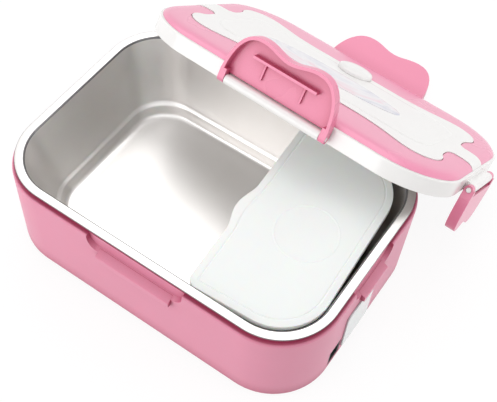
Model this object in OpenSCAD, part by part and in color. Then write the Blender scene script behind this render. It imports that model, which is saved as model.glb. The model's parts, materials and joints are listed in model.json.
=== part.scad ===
// Electric lunch box: heated base, steel container, covered side box and a loose lid with four latches.
// Millimetres, +Z up. The origin is on the table, under the centre of the base. X runs along the
// long side, Y towards the back. The lid is off: it leans on the back rim, behind the base.

/* [Base] */
// Length of the base
body_l = 238; // [226:1:250]
// Depth of the base, front to back
body_d = 168.8; // [160:0.2:178]
// Space between the table and the container's floor, where the heater sits
base_space = 15.06; // [14.9:0.02:20]
// Corner radius of the base in plan
corner_r = 42; // [38:0.5:46]
// Wall of the outer shell
shell_wall = 2.5; // [2:0.1:2.8]
// Radius of the shell's bottom edge
foot_edge_r = 5; // [3:0.5:5.5]
// Height of the rubber feet
foot_h = 1.6; // [1.2:0.1:2.4]
// Radius of a rubber foot
foot_r = 7; // [5:0.5:8]
// Thickness of the bottom cover
cover_t = 2.4; // [2.2:0.1:2.6]
// Wall of the inner liner
liner_wall = 1.6; // [1.2:0.1:1.8]

/* [Catches] */
// Half width of the finger recess on the long sides
catch_long = 36; // [32:0.5:38]
// Half width of the finger recess on the short sides
catch_short = 22; // [18:0.5:24]
// How far a catch lip stands proud of the wall
lip_out = 3; // [2.6:0.1:3.2]
// Depth of a catch lip's underside below the shoulder
lip_drop = 17.6; // [17:0.1:17.8]
// Depth of the finger recess into the wall
recess_deep = 3.4; // [2.6:0.1:3.4]

/* [Steel container] */
// Sheet thickness of the container
steel_t = 0.8; // [0.6:0.1:1]
// Height of the container's flange above the shoulder
rim_h = 4.66; // [4.4:0.02:4.8]
// Width of the flange
flange_w = 5.05; // [4.6:0.05:5.4]
// Inside depth of the container
tub_depth = 62.2; // [58:0.1:68]

/* [Side box] */
// Half width of the side box cover
side_half_w = 39.4; // [36:0.1:39.6]
// Half length of the side box cover
side_half_l = 72; // [68:0.5:72.5]
// Radius of the side box cover's two corners over the middle of the container
side_left_r = 6.5; // [6:0.5:12]
// How far the loose side box is turned in the container
side_turn = 3.2; // [0:0.1:3.4]
// Wall of the side box
side_wall = 1.6; // [1.2:0.1:2]

/* [Lid] */
// Height of the lid's skirt
skirt_h = 11.2; // [10.6:0.1:12]
// Wall of the skirt
skirt_wall = 1.8; // [1.6:0.05:1.85]
// Height of the raised middle of the lid, from the skirt's lower edge
plateau_z = 16; // [15.6:0.1:17]
// Corner radius of the lid in plan
lid_corner_r = 45; // [42:0.5:47]
// Lean of the lid as it rests on the back rim
lid_lean = 35.4; // [35:0.1:36]
// How far the leaning lid is turned about the vertical
lid_turn = -2.7; // [-3:0.1:-2.4]
// Radius of the steam vent plug
vent_r = 13.5; // [11:0.5:14]

/* [Latches] */
// Half width of a latch on the long sides
latch_long = 41.5; // [40:0.5:43]
// Half width of a latch on the short sides
latch_short = 27; // [26:0.5:29]
// Reach of a long latch below its hinge
latch_reach = 36; // [34:0.5:37]
// Reach of a short latch below its hinge
latch_short_reach = 33; // [32:0.5:34]
// Radius of a hinge pin
pin_r = 1.7; // [1.4:0.1:2]
// Running clearance of a hinge pin in its knuckle
pin_gap = 0.2; // [0.1:0.05:0.3]
// Opening angle of the front latch, folded right back
front_open = 178; // [150:1:178]

/* [Hidden] */

$fn = 48;
corner_steps = 8;
eps = 0.01;

pink = [0.88, 0.60, 0.70];
bright_pink = [0.96, 0.66, 0.76];
white_pp = [0.95, 0.95, 0.94];
steel = [0.75, 0.74, 0.73];

half_l = body_l / 2;
half_d = body_d / 2;

// Heights in the base
floor_z = foot_h;
cover_top = floor_z + cover_t;
tub_floor_z = base_space;
rim_z = tub_floor_z + tub_depth;
shoulder_z = rim_z - rim_h;
flange_out = 2.05;
mouth_in = flange_out + flange_w;

// Collar that carries the liner and the container
collar_out = 3.2;
collar_top = rim_z - steel_t;
collar_lip_in = 4.3;
collar_ledge_in = 5.6;
liner_rim_t = 1.2;
ledge_z = collar_top - liner_rim_t;

// Inside of the container: [depth below the rim, inset along X, inset along Y, corner radius]
tub_profile = [[0, mouth_in, mouth_in, 34.9],
               [1.5, mouth_in + 0.8, mouth_in + 0.8, 34.2],
               [tub_depth - 12.2, mouth_in + 12.5, mouth_in + 11.9, 30],
               [tub_depth - 9.7, mouth_in + 13.3, mouth_in + 12.7, 29.2],
               [tub_depth - 8.6, mouth_in + 15.1, mouth_in + 14.3, 27.5],
               [tub_depth - 2.7, mouth_in + 16.7, mouth_in + 15.5, 26],
               [tub_depth - 0.6, mouth_in + 19.5, mouth_in + 17.5, 24],
               [tub_depth, mouth_in + 22.9, mouth_in + 20.9, 21]];

// Clearances
drop_gap = 0.6;      // container in the liner
fit_gap = 0.3;       // loose fits
seat_gap = 0.15;     // faceted faces that rest on each other
screw_gap = 0.05;

// Heater stack under the container
plate_t = 1.5;
plate_top = tub_floor_z - steel_t - seat_gap;
plate_z = plate_top - plate_t;
window_l = 150;
window_d = 84;
window_ledge = 3;
heater_l = window_l - 88;
heater_d = 22;
heater_t = 4.6;
clamp_t = 1;
stat_x = window_l / 2 - 19;
stat_r = 8;
lug_l = 4;
wire_r = 1;
wire_z = plate_z - heater_t + 0.39;
fuse_r = 2;
fuse_l = 12;
fuse_x = window_l / 2 - 13;
fuse_y = -20;
fuse_z = plate_z - fuse_r - seat_gap;

// Screws and feet of the bottom
screw_x = half_l - 21;
screw_y = half_d - 24.4;
boss_r = 3;
boss_top = plate_z - 1.6;
screw_r = 1.35;
head_r = 2.7;
head_t = 1.2;
foot_x = half_l - 39;
foot_y = half_d - 33;

// Power inlet in the right wall
inlet_y = -35.6;
inlet_z = 17.6;
inlet_w = 13;
inlet_h = 16;
inlet_deep = 12.3;
inlet_wall = 1.7;
socket_deep = 8.8;
inlet_rim = 1.4;
inlet_pin_r = 1.15;
inlet_pitch = 4.3;
inlet_face = half_l - 0.2;
tail_l = 2;

// Bare plate on the right wall, below the catch
film_y = -11.5;
film_drop = 41;
film_half_w = 16;
film_half_h = 19;
film_r = 3;
film_t = 1.2;

// Lid pose: the back latch lies under the lid's back edge and its rim rests on the table
hinge_out = 4.4;
hinge_z = 3.5;
rod_r = 3.3;
knuckle_w = 4.6;
latch_out = 4;
latch_plate = 1.6;
latch_rim = 3.2;
latch_wall = 2.2;
latch_edge = rod_r + 0.6;
table_gap = 0.3;
rear_open = 90 + lid_lean;
hinge_d = half_d + hinge_out;
lid_z = latch_rim + table_gap + hinge_d * sin(lid_lean) - hinge_z * cos(lid_lean);
rim_lean_gap = 0.4;
panel_z = 4.9;
// The back rim's right-hand end touches the underside: solved for how far back the lid stands
lean_x = 78;
lid_x = 15.3;
rim_edge_y = half_d - flange_out;
lid_y = (rim_edge_y * cos(lid_turn) * sin(lid_lean) + (rim_z - lid_z) * cos(lid_lean)
         - (lean_x - lid_x) * sin(lid_turn) * sin(lid_lean) - panel_z + rim_lean_gap)
        / (cos(lid_turn) * sin(lid_lean));
top_z = skirt_h + 0.2;
dome_in = 1.6;
gasket_z = 4.3;
ceiling_z = 8.6;
trim_gap = 0.25;
trim_end = 11;
stem_r = 5;
vent_x = 0;
vent_y = 38;
vent_travel = 3;
label_half_l = 57;
label_t = 0.4;

// Bar inside a latch that hooks under its catch lip when the lid is shut
bar_v = 21.9;
bar_t = 1.8;
bar_in = 2.2;
rib_v = 10.5;

// Side box
side_x = half_l - 51.6;
side_y = -1;
side_top = shoulder_z + 0.9;
side_lid_t = 1.6;
side_skirt = 2.4;
side_r = 34;
side_rim = 1.6;
side_foot_w = side_half_w - 12.4;
side_foot_l = side_half_l - 18;
side_foot_r = 20;
side_foot_left_r = 5;
side_foot_x = -7;
side_foot_edge = 2.5;
cover_wall = 1.3;
groove_in = 4.4;
groove_w = 1.2;
groove_deep = 0.35;
tab_out = 4;
tab_y = -8.5;
tab_r = 38;

// ---------- shapes that repeat ----------

// One closed loop of points: a rectangle with round corners at one height. The two left corners
// may have a radius of their own.
function ring(a, b, r, z, cx = 0, left_r = undef) =
    [for (q = [0:3], i = [0:corner_steps])
        let (t = 90 * (q + i / corner_steps), sx = (q == 0 || q == 3) ? 1 : -1, sy = q < 2 ? 1 : -1,
             c = sx < 0 && left_r != undef ? left_r : r)
        [cx + sx * (a - c) + c * cos(t), sy * (b - c) + c * sin(t), z]];

// The same, given as an inset from the base's outline
function body_ring(inset, z) = ring(half_l - inset, half_d - inset, corner_r - inset, z);
function lid_ring(inset, z) = ring(half_l - inset, half_d - inset, lid_corner_r - inset, z);

// Container profile moved outwards and down by one offset
function tub_ring(p, off) =
    ring(half_l - p[1] + off, half_d - p[2] + off, p[3] + off, rim_z - p[0] - off);

// Solid skinned over a row of loops. It is capped at both ends, or the last loop joins the first.
module skin(rings, joined = false) {
    n = len(rings[0]);
    m = len(rings);
    last = joined ? m - 1 : m - 2;
    sides = [for (k = [0:last], i = [0:n - 1])
                let (p = k * n, q = ((k + 1) % m) * n, j = (i + 1) % n)
                each [[p + i, q + i, q + j], [p + i, q + j, p + j]]];
    caps = joined ? [] : [[for (i = [0:n - 1]) i], [for (i = [n - 1:-1:0]) (m - 1) * n + i]];
    polyhedron(points = [for (r = rings) each r], faces = concat(sides, caps), convexity = 8);
}

module plate2d(a, b, r) {
    square([2 * a, 2 * (b - r)], center = true);
    square([2 * (a - r), 2 * b], center = true);
    for (sx = [-1, 1], sy = [-1, 1]) translate([sx * (a - r), sy * (b - r)]) circle(r);
}

module plate(a, b, r, t) linear_extrude(t) plate2d(a, b, r);

module block(lo, hi) translate(lo) cube(hi - lo);

// Four walls: 0 front, 1 right, 2 back, 3 left. Local X runs along the wall, -Y points out of it.
function wall_dist(side) = side % 2 == 0 ? half_d : half_l;
module on_wall(side) rotate([0, 0, 90 * side]) translate([0, -wall_dist(side), shoulder_z]) children();
module on_hinge(side)
    rotate([0, 0, 90 * side]) translate([0, -wall_dist(side) - hinge_out, hinge_z]) children();
module place_lid()
    translate([lid_x, lid_y, lid_z]) rotate([0, 0, lid_turn]) rotate([-lid_lean, 0, 0]) children();
module place_side_box() translate([side_x, side_y, 0]) rotate([0, 0, side_turn]) children();

function unit(v) = v / norm(v);

// Direction of a route at one of its points: halfway between the stretches before and after it
function heading(p, k) = unit((k > 0 ? unit(p[k] - p[k - 1]) : [0, 0, 0])
                              + (k < len(p) - 1 ? unit(p[k + 1] - p[k]) : [0, 0, 0]));

// Wire swept along a row of points
module wire(p, r) skin([for (k = [0:len(p) - 1])
    let (d = heading(p, k), u = unit(cross([0, 0, 1], d)), v = cross(d, u))
    [for (a = [0:45:315]) p[k] + r * (cos(a) * u + sin(a) * v)]]);

// ---------- base ----------

function catch_half(side) = side % 2 == 0 ? catch_long : catch_short;
ledge_margin = 8;
recess_drop = 9.5;
recess_slope = 0.64;
lip_face = 4.3;
pocket_wall = 1.5;

// Ledge below a finger recess: it slopes out to a lip that the latch's bar hooks under
module catch_ledge(side) {
    w = catch_half(side) - ledge_margin;
    on_wall(side) rotate([90, 0, 90]) translate([0, 0, -w]) linear_extrude(2 * w)
        polygon([[recess_deep, -recess_drop - 0.6], [recess_deep - 0.9, -recess_drop - 0.3],
                 [-lip_out, lip_face - lip_drop], [-lip_out, -lip_drop], [0, -lip_drop - 0.8],
                 [shell_wall - 0.5, -lip_drop - 0.8], [recess_deep, -recess_drop - 2]]);
}

module catch_backing(side) {
    w = catch_half(side) + 2;
    on_wall(side) block([-w, shell_wall - 0.6, -recess_drop - 4], [w, recess_deep + pocket_wall, -0.6]);
}

// Finger recess: its floor slopes down towards the wall's outside
module catch_recess(side) {
    w = catch_half(side);
    round_r = recess_drop - 1;
    on_wall(side) rotate([90, 0, 0]) translate([0, 0, -recess_deep]) linear_extrude(recess_deep + 1) {
        translate([-w + round_r, -recess_drop]) square([2 * (w - round_r), recess_drop + eps]);
        for (s = [-1, 1]) translate([s * (w - round_r), 0]) intersection() {
            circle(round_r);
            translate([-round_r, -round_r]) square([2 * round_r, round_r + eps]);
        }
    }
    on_wall(side) rotate([90, 0, 90]) translate([0, 0, round_r - w]) linear_extrude(2 * (w - round_r))
        polygon([[recess_deep, eps - recess_drop], [recess_deep, -recess_drop],
                 [-1, -recess_drop - recess_slope * (recess_deep + 1)], [-1, eps - recess_drop]]);
}

module shell_body() difference() {
    union() {
        skin(concat(
            [for (t = [0:22.5:90])
                body_ring(foot_edge_r * (1 - sin(t)), floor_z + foot_edge_r * (1 - cos(t)))],
            [body_ring(0, shoulder_z - 1.5), body_ring(0.45, shoulder_z - 0.45),
             body_ring(1.5, shoulder_z), body_ring(collar_out, shoulder_z),
             body_ring(collar_out, collar_top), body_ring(collar_lip_in, collar_top),
             body_ring(collar_lip_in, ledge_z), body_ring(collar_ledge_in, ledge_z),
             body_ring(collar_ledge_in, shoulder_z + 0.4), body_ring(shell_wall, shoulder_z - 3),
             body_ring(shell_wall, cover_top + 4), body_ring(foot_edge_r + 1.2, cover_top + 0.2),
             body_ring(foot_edge_r + 1.2, floor_z)]), joined = true);
        for (side = [0:3]) catch_backing(side);
        for (sx = [-1, 1], sy = [-1, 1]) translate([sx * screw_x, sy * screw_y, 0]) {
            translate([0, 0, cover_top]) cylinder(r = boss_r, h = boss_top - cover_top);
            rotate([0, 0, sy * (sx > 0 ? 40 : 140)])
                block([1, -0.8, cover_top + 0.3], [corner_r - 28.5, 0.8, boss_top - 0.5]);
        }
    }
    for (side = [0:3]) catch_recess(side);
    for (sx = [-1, 1], sy = [-1, 1]) translate([sx * screw_x, sy * screw_y, cover_top - 1])
        cylinder(r = screw_r + screw_gap, h = boss_top - cover_top + 0.2, $fn = 24);
    block([half_l - shell_wall - 2, inlet_y - inlet_w / 2 - fit_gap, inlet_z - inlet_h / 2 - fit_gap],
          [half_l + 1, inlet_y + inlet_w / 2 + fit_gap, inlet_z + inlet_h / 2 + fit_gap]);
}

module outer_shell() color(pink) {
    shell_body();
    for (side = [0:3]) catch_ledge(side);
}

module bottom_cover() color(pink) difference() {
    inset = foot_edge_r + 1.2 + fit_gap;
    translate([0, 0, floor_z]) plate(half_l - inset, half_d - inset, corner_r - inset, cover_t);
    for (sx = [-1, 1], sy = [-1, 1]) translate([sx * screw_x, sy * screw_y, floor_z]) {
        translate([0, 0, -1]) cylinder(r = screw_r + fit_gap, h = cover_t + 2, $fn = 24);
        translate([0, 0, -1]) cylinder(r = head_r + fit_gap, h = head_t + 1, $fn = 32);
    }
}

module rubber_feet() color([0.85, 0.84, 0.83])
    for (sx = [-1, 1], sy = [-1, 1]) translate([sx * foot_x, sy * foot_y, 0])
        cylinder(r = foot_r, h = foot_h);

module bottom_screws() color("silver")
    for (sx = [-1, 1], sy = [-1, 1]) translate([sx * screw_x, sy * screw_y, floor_z]) {
        translate([0, 0, head_t - 1.1]) cylinder(r = head_r, h = 1.1, $fn = 32);
        cylinder(r = screw_r, h = boss_top - floor_z - 1, $fn = 24);
    }

module inner_liner() color([0.93, 0.93, 0.92]) difference() {
    inside = steel_t + drop_gap;
    outside = inside + liner_wall;
    walls = [for (k = [len(tub_profile) - 1:-1:2]) tub_ring(tub_profile[k], outside)];
    hollow = [for (k = [2:len(tub_profile) - 1]) tub_ring(tub_profile[k], inside)];
    throat = mouth_in - steel_t - drop_gap + 1;
    skin(concat(walls,
        [body_ring(throat - liner_wall + 0.5, shoulder_z - 4), body_ring(collar_ledge_in + fit_gap, ledge_z - 1.6),
         body_ring(collar_ledge_in + fit_gap, ledge_z), body_ring(collar_lip_in + fit_gap, ledge_z),
         body_ring(collar_lip_in + fit_gap, collar_top - 0.1), body_ring(mouth_in - steel_t - 0.5, collar_top - 0.1),
         body_ring(mouth_in - steel_t + 0.2, ledge_z - 2)],
        hollow));
    translate([0, 0, plate_z - 4]) plate(window_l / 2, window_d / 2, 8, 8);
    translate([0, 0, plate_z])
        plate(window_l / 2 + window_ledge + fit_gap, window_d / 2 + window_ledge + fit_gap, 10, 8);
}

module heating_plate() color([0.8, 0.8, 0.82]) difference() {
    translate([0, 0, plate_z]) plate(window_l / 2 + window_ledge, window_d / 2 + window_ledge, 10, plate_t);
    for (s = [-1, 1]) translate([0, s * (heater_d / 2 + 13), plate_z - 1])
        cylinder(r = screw_r + screw_gap, h = 2, $fn = 24);
}

module ptc_heater() color([0.75, 0.72, 0.6]) {
    block([-heater_l / 2, -heater_d / 2, plate_z - heater_t], [heater_l / 2, heater_d / 2, plate_z]);
    for (s = [-1, 1])
        block([heater_l / 2 - 1, 5 * s - 1.5, wire_z - 0.4], [heater_l / 2 + lug_l, 5 * s + 1.5, wire_z + 0.4]);
}

module heater_clamp() color("silver") {
    leg = heater_d / 2 + 7;
    low = plate_z - heater_t - clamp_t;
    difference() {
        union() {
            block([-8, -leg - clamp_t, low], [8, leg + clamp_t, low + clamp_t]);
            for (s = [0, 180]) rotate([0, 0, s]) {
                block([-8, leg, low], [8, leg + clamp_t, plate_z]);
                block([-8, leg, plate_z - clamp_t], [8, leg + 11, plate_z]);
            }
        }
        for (s = [-1, 1]) translate([0, s * (heater_d / 2 + 13), plate_z - 2])
            cylinder(r = screw_r + fit_gap, h = 3, $fn = 24);
    }
}

module clamp_screws() color([0.6, 0.6, 0.6])
    for (s = [-1, 1]) translate([0, s * (heater_d / 2 + 13), plate_z]) {
        translate([0, 0, -clamp_t - 1.5]) cylinder(r = 2.3, h = 1.5, $fn = 32);
        translate([0, 0, -clamp_t - 1]) cylinder(r = screw_r, h = clamp_t + 1.9, $fn = 24);
    }

module thermostat() color([0.85, 0.82, 0.7]) {
    translate([stat_x, 0, plate_z - heater_t]) cylinder(r = stat_r, h = heater_t);
    for (s = [-1, 1]) translate([stat_x + s * (stat_r + lug_l / 2 - 0.5), 0, wire_z])
        cube([lug_l + 1, 3, 0.8], center = true);
}

module thermal_fuse() color([0.9, 0.88, 0.8])
    translate([fuse_x, fuse_y, fuse_z]) rotate([0, 90, 0]) cylinder(r = fuse_r, h = fuse_l, $fn = 24);

module power_inlet() color([0.16, 0.16, 0.17]) difference() {
    union() {
        block([inlet_face - inlet_deep, inlet_y - inlet_w / 2, inlet_z - inlet_h / 2],
              [inlet_face, inlet_y + inlet_w / 2, inlet_z + inlet_h / 2]);
        block([half_l - shell_wall - 1.8, inlet_y - inlet_w / 2 - inlet_rim, inlet_z - inlet_h / 2 - inlet_rim],
              [half_l - shell_wall - 0.1, inlet_y + inlet_w / 2 + inlet_rim, inlet_z + inlet_h / 2 + inlet_rim]);
    }
    block([inlet_face - socket_deep, inlet_y - inlet_w / 2 + inlet_wall, inlet_z - inlet_h / 2 + inlet_wall],
          [inlet_face + 1, inlet_y + inlet_w / 2 - inlet_wall, inlet_z + inlet_h / 2 - inlet_wall]);
    for (s = [-1, 1]) translate([inlet_face - inlet_deep - 1, inlet_y, inlet_z + s * inlet_pitch])
        rotate([0, 90, 0]) cylinder(r = inlet_pin_r + screw_gap, h = inlet_deep, $fn = 24);
}

module inlet_pins() color([0.8, 0.72, 0.5])
    for (s = [-1, 1])
        translate([inlet_face - inlet_deep - tail_l, inlet_y, inlet_z + s * inlet_pitch]) rotate([0, 90, 0])
            cylinder(r = inlet_pin_r, h = inlet_deep + tail_l - 2, $fn = 24);

// Ends of the inlet's tails
tail_x = inlet_face - inlet_deep - tail_l;

module lead_live() color([0.7, 0.35, 0.2])
    wire([[tail_x, inlet_y, inlet_z - inlet_pitch], [tail_x - 2, inlet_y, inlet_z - inlet_pitch],
          [tail_x - 6, inlet_y + 3, wire_z], [tail_x - 22, -4, wire_z], [stat_x + stat_r + lug_l + 5, 0, wire_z],
          [stat_x + stat_r + lug_l, 0, wire_z]], wire_r);

module lead_bridge() color([0.7, 0.35, 0.2])
    wire([[stat_x - stat_r - lug_l, 0, wire_z], [stat_x - stat_r - lug_l - 3, 0, wire_z],
          [heater_l / 2 + lug_l + 3, 5, wire_z], [heater_l / 2 + lug_l, 5, wire_z]], wire_r);

module lead_return() color([0.25, 0.35, 0.6]) {
    wire([[heater_l / 2 + lug_l, -5, wire_z], [heater_l / 2 + lug_l + 4, -5, wire_z],
          [fuse_x - 7, fuse_y, wire_z], [fuse_x - 2, fuse_y, fuse_z], [fuse_x, fuse_y, fuse_z]], wire_r);
    wire([[fuse_x + fuse_l, fuse_y, fuse_z], [fuse_x + fuse_l + 2, fuse_y, fuse_z],
          [fuse_x + fuse_l + 5, fuse_y - 1, wire_z], [tail_x - 5, inlet_y - 4, wire_z],
          [tail_x - 1.5, inlet_y, inlet_z + inlet_pitch], [tail_x, inlet_y, inlet_z + inlet_pitch]], wire_r);
}

module side_plate() color([0.86, 0.86, 0.88])
    translate([half_l, film_y, shoulder_z - film_drop]) rotate([90, 0, 90])
        plate(film_half_w, film_half_h, film_r, film_t);

// ---------- what stands in the base ----------

module steel_container() color(steel) {
    out = [for (k = [len(tub_profile) - 1:-1:1]) tub_ring(tub_profile[k], steel_t)];
    in = [for (p = tub_profile) tub_ring(p, 0)];
    skin(concat(out,
        [body_ring(mouth_in - steel_t, rim_z - steel_t), body_ring(flange_out, rim_z - steel_t),
         body_ring(flange_out - 0.1, rim_z - steel_t / 2), body_ring(flange_out + 0.2, rim_z)],
        in));
}

module side_box() color(white_pp) place_side_box() {
    top = side_top - side_lid_t - 0.05;
    low = tub_floor_z + seat_gap;
    a = side_half_w - side_rim;
    b = side_half_l - side_rim;
    w = side_wall;
    e = side_foot_edge;
    skin([ring(side_foot_w - e, side_foot_l - e, side_foot_r - 2, low, side_foot_x, side_foot_left_r - 1),
          ring(side_foot_w, side_foot_l, side_foot_r, low + 2.4, side_foot_x, side_foot_left_r),
          ring(a, b, side_r - side_rim, top, 0, side_left_r - side_rim),
          ring(a - w, b - w, side_r - side_rim - w, top, 0, side_left_r - side_rim - w),
          ring(side_foot_w - w, side_foot_l - w, side_foot_r - w, low + 3.2, side_foot_x, side_foot_left_r - w),
          ring(side_foot_w - e - w, side_foot_l - e - w, side_foot_r - 2 - w, low + w, side_foot_x,
               side_foot_left_r - 1 - w)]);
}

// Outline of the side box cover, drawn in by an inset
module cover_plate(inset, t) linear_extrude(t) {
    a = side_half_w - inset;
    b = side_half_l - inset;
    r = side_r - inset;
    l = side_left_r - inset;
    translate([-a, r - b]) square([2 * a, 2 * (b - r)]);
    translate([l - a, -b]) square([2 * a - l - r, 2 * b]);
    translate([-a, l - b]) square([l + 1, 2 * (b - l)]);
    for (sy = [-1, 1]) {
        translate([a - r, sy * (b - r)]) circle(r);
        translate([l - a, sy * (b - l)]) circle(l);
    }
}

module side_box_cover() color([0.97, 0.97, 0.96]) place_side_box() {
    translate([0, 0, side_top - side_lid_t]) difference() {
        union() {
            cover_plate(0, side_lid_t);
            translate([tab_r - side_half_w - tab_out, tab_y, 0]) cylinder(r = tab_r, h = side_lid_t, $fn = 96);
        }
        translate([0, 0, side_lid_t - groove_deep]) difference() {
            cover_plate(groove_in, 1);
            translate([0, 0, -1]) cover_plate(groove_in + groove_w, 3);
        }
    }
    translate([0, 0, side_top - side_lid_t - side_skirt]) difference() {
        cover_plate(0, side_skirt);
        translate([0, 0, -1]) cover_plate(cover_wall, side_skirt + 2);
    }
}

// ---------- lid, modelled level in its own frame: z = 0 is the skirt's lower edge ----------

// Raised white middle, one quarter, from the front centre line round to the short side
plateau_quarter = [[0, -45], [30, -45], [45, -45.5], [60, -48.5], [72, -52.5], [82, -54], [91, -52],
                   [98, -46], [100.5, -38], [100, -32], [97.5, -26], [97, -18], [98, -trim_end - 1.5],
                   [100, -trim_end]];
function flip(p, sx, sy) = [for (q = p) [sx * q[0], sy * q[1]]];
function turned(p) = [for (k = [len(p) - 1:-1:0]) p[k]];

// Outline of the lid's white part: the raised middle and the saddle at each short side
module plateau2d(grow = 0) offset(delta = grow) polygon(concat(
    plateau_quarter, [[half_l + 5, -trim_end], [half_l + 5, trim_end]], turned(flip(plateau_quarter, 1, -1)),
    flip(plateau_quarter, -1, -1), [[-half_l - 5, trim_end], [-half_l - 5, -trim_end]],
    turned(flip(plateau_quarter, -1, 1))));

// Rounded upper edge of the lid, which the trims and the white part share
module dome(low, high) {
    rise = high - skirt_h;
    skin([lid_ring(dome_in, low), lid_ring(dome_in, skirt_h + 0.05), lid_ring(2.3, skirt_h + 0.3 * rise),
          lid_ring(4.4, skirt_h + 0.6 * rise), lid_ring(8, skirt_h + 0.82 * rise),
          lid_ring(14, skirt_h + 0.95 * rise), lid_ring(24, high)]);
}

module hinge_rod(side) {
    w = (side % 2 == 0 ? latch_long : latch_short) - knuckle_w - fit_gap;
    on_hinge(side) {
        rotate([0, 90, 0]) translate([0, 0, -w]) cylinder(r = rod_r, h = 2 * w);
        rotate([0, 90, 0]) translate([0, 0, -w - knuckle_w])
            cylinder(r = pin_r, h = 2 * (w + knuckle_w), $fn = 32);
        block([-w + 1, 0, -rod_r], [w - 1, hinge_out + 0.6, rod_r]);
    }
}

module lid_cover() color(white_pp) place_lid() difference() {
    union() {
        skin([lid_ring(skirt_wall + 6, ceiling_z), lid_ring(skirt_wall, ceiling_z),
              lid_ring(skirt_wall, 0), lid_ring(0.2, 0), lid_ring(0, 0.4), lid_ring(0, skirt_h - 0.8),
              lid_ring(0.5, skirt_h - 0.15), lid_ring(1.3, skirt_h), lid_ring(dome_in, top_z), lid_ring(20, top_z)]);
        intersection() {
            dome(top_z - 1, plateau_z - 0.4);
            translate([0, 0, top_z - 1]) linear_extrude(10) plateau2d();
        }
        intersection() {
            translate([0, 0, top_z - 1]) linear_extrude(plateau_z - top_z + 1) plateau2d(-1.2);
            translate([0, 0, top_z - 1]) plate(100, 60, 20, 10);
        }
        for (side = [0:3]) hinge_rod(side);
    }
    translate([vent_x, vent_y, ceiling_z - 1]) cylinder(r = stem_r + fit_gap, h = 12);
}

module lid_inner_panel() color([0.93, 0.94, 0.94]) place_lid() difference() {
    translate([0, 0, panel_z]) plate(half_l - 13, half_d - 13, lid_corner_r - 13, ceiling_z - panel_z);
    translate([0, 0, panel_z + 1.6])
        plate(half_l - 16, half_d - 16, lid_corner_r - 16, ceiling_z - panel_z);
    translate([vent_x, vent_y, panel_z - 1]) cylinder(r = stem_r + 2, h = 8);
}

module lid_gasket() color([0.9, 0.9, 0.9]) place_lid() translate([0, 0, gasket_z]) difference() {
    plate(half_l - skirt_wall - 0.8, half_d - skirt_wall - 0.8, lid_corner_r - skirt_wall - 0.8,
          ceiling_z - gasket_z);
    translate([0, 0, -1]) plate(half_l - 8.4, half_d - 8.4, lid_corner_r - 8.4, 8);
}

// One of the two C-shaped trims. The other is its mirror image.
module trim(sy) color(bright_pink) place_lid() intersection() {
    dome(top_z - 1, plateau_z - 0.8);
    translate([0, 0, top_z]) linear_extrude(8) difference() {
        translate([-half_l, sy > 0 ? trim_end + trim_gap : -half_d])
            square([2 * half_l, half_d - trim_end - trim_gap]);
        plateau2d(trim_gap);
    }
}
module trim_front() trim(-1);
module trim_rear() trim(1);

module lid_label() color([0.97, 0.9, 0.93]) place_lid()
    translate([0, 0, plateau_z]) scale([1, 0.29, 1]) cylinder(r = label_half_l, h = label_t, $fn = 72);

module vent_plug() color([0.96, 0.96, 0.95]) place_lid() translate([vent_x, vent_y, 0]) {
    barb_z = ceiling_z - vent_travel - 0.3;
    rotate_extrude() polygon([[0, barb_z - 1], [stem_r, barb_z - 1], [stem_r + 0.8, barb_z - 0.6],
        [stem_r + 0.8, barb_z], [stem_r, barb_z], [stem_r, plateau_z + 0.05], [vent_r - 0.8, plateau_z + 0.05],
        [vent_r, plateau_z + 0.8], [vent_r - 0.6, plateau_z + 2.4], [vent_r - 3, plateau_z + 3.8],
        [vent_r - 6, plateau_z + 4.3], [0, plateau_z + 4.4]]);
}

// ---------- latches ----------

// Outline of a latch below its hinge, one half: a round shoulder, a lobe and a shallow dip in the middle
dip = 4;
shoulder_v = 2;
function latch_outline(w, reach, inset, top) =
    let (lobe = 0.494 * w, side = w - lobe - inset, drop = reach - shoulder_v - inset,
         half = concat([[w - inset, -top]],
             [for (t = [0:9:90]) [lobe + side * pow(cos(t), 0.8), -shoulder_v - drop * pow(sin(t), 0.95)]],
             [for (k = [5:-1:1]) let (u = lobe * k / 6)
                 [u, inset - reach + dip * (1 + cos(180 * u / lobe)) / 2]]))
    concat(half, [[0, inset - reach + dip]], turned(flip(half, -1, 1)));

module latch_slab(w, reach, inset, top, lo, hi)
    rotate([90, 0, 0]) translate([0, 0, lo]) linear_extrude(hi - lo)
        polygon(latch_outline(w, reach, inset, top));

module latch(w, reach) {
    face = latch_out - latch_plate;
    bar_w = 0.58 * w;
    bend = w - knuckle_w;
    difference() {
        union() {
            latch_slab(w, reach, 0, latch_edge, face, latch_out);
            difference() {
                latch_slab(w, reach, 0, 0, -latch_rim, latch_out);
                latch_slab(w, reach, latch_wall, -8, -latch_rim - 1, face + eps);
                block([-w - 1, -latch_out - 1, -latch_edge], [w + 1, latch_rim + 1, 8]);
            }
            for (s = [-1, 1]) {
                translate([s > 0 ? bend : -w, 0, 0]) rotate([0, 90, 0])
                    cylinder(r = latch_rim, h = knuckle_w, $fn = 32);
                block([s > 0 ? bend : -w, -latch_out, -latch_edge - 3], [s > 0 ? w : -bend, latch_rim, 0]);
                block([s * 0.36 * w - 0.6, -face - eps, -bar_v - 0.5], [s * 0.36 * w + 0.6, 1.6 - face, -rib_v]);
            }
            block([-bar_w, -face - eps, -bar_v - bar_t], [bar_w, bar_in, -bar_v]);
        }
        rotate([0, 90, 0]) translate([0, 0, -w - 1]) cylinder(r = pin_r + pin_gap, h = 2 * w + 2, $fn = 32);
    }
}

module placed_latch(side, angle) color(bright_pink) place_lid() on_hinge(side) rotate([-angle, 0, 0])
    latch(side % 2 == 0 ? latch_long : latch_short, side % 2 == 0 ? latch_reach : latch_short_reach);

module front_latch() placed_latch(0, front_open);
module right_latch() placed_latch(1, 0);
module rear_latch() placed_latch(2, rear_open);
module left_latch() placed_latch(3, 0);

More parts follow.
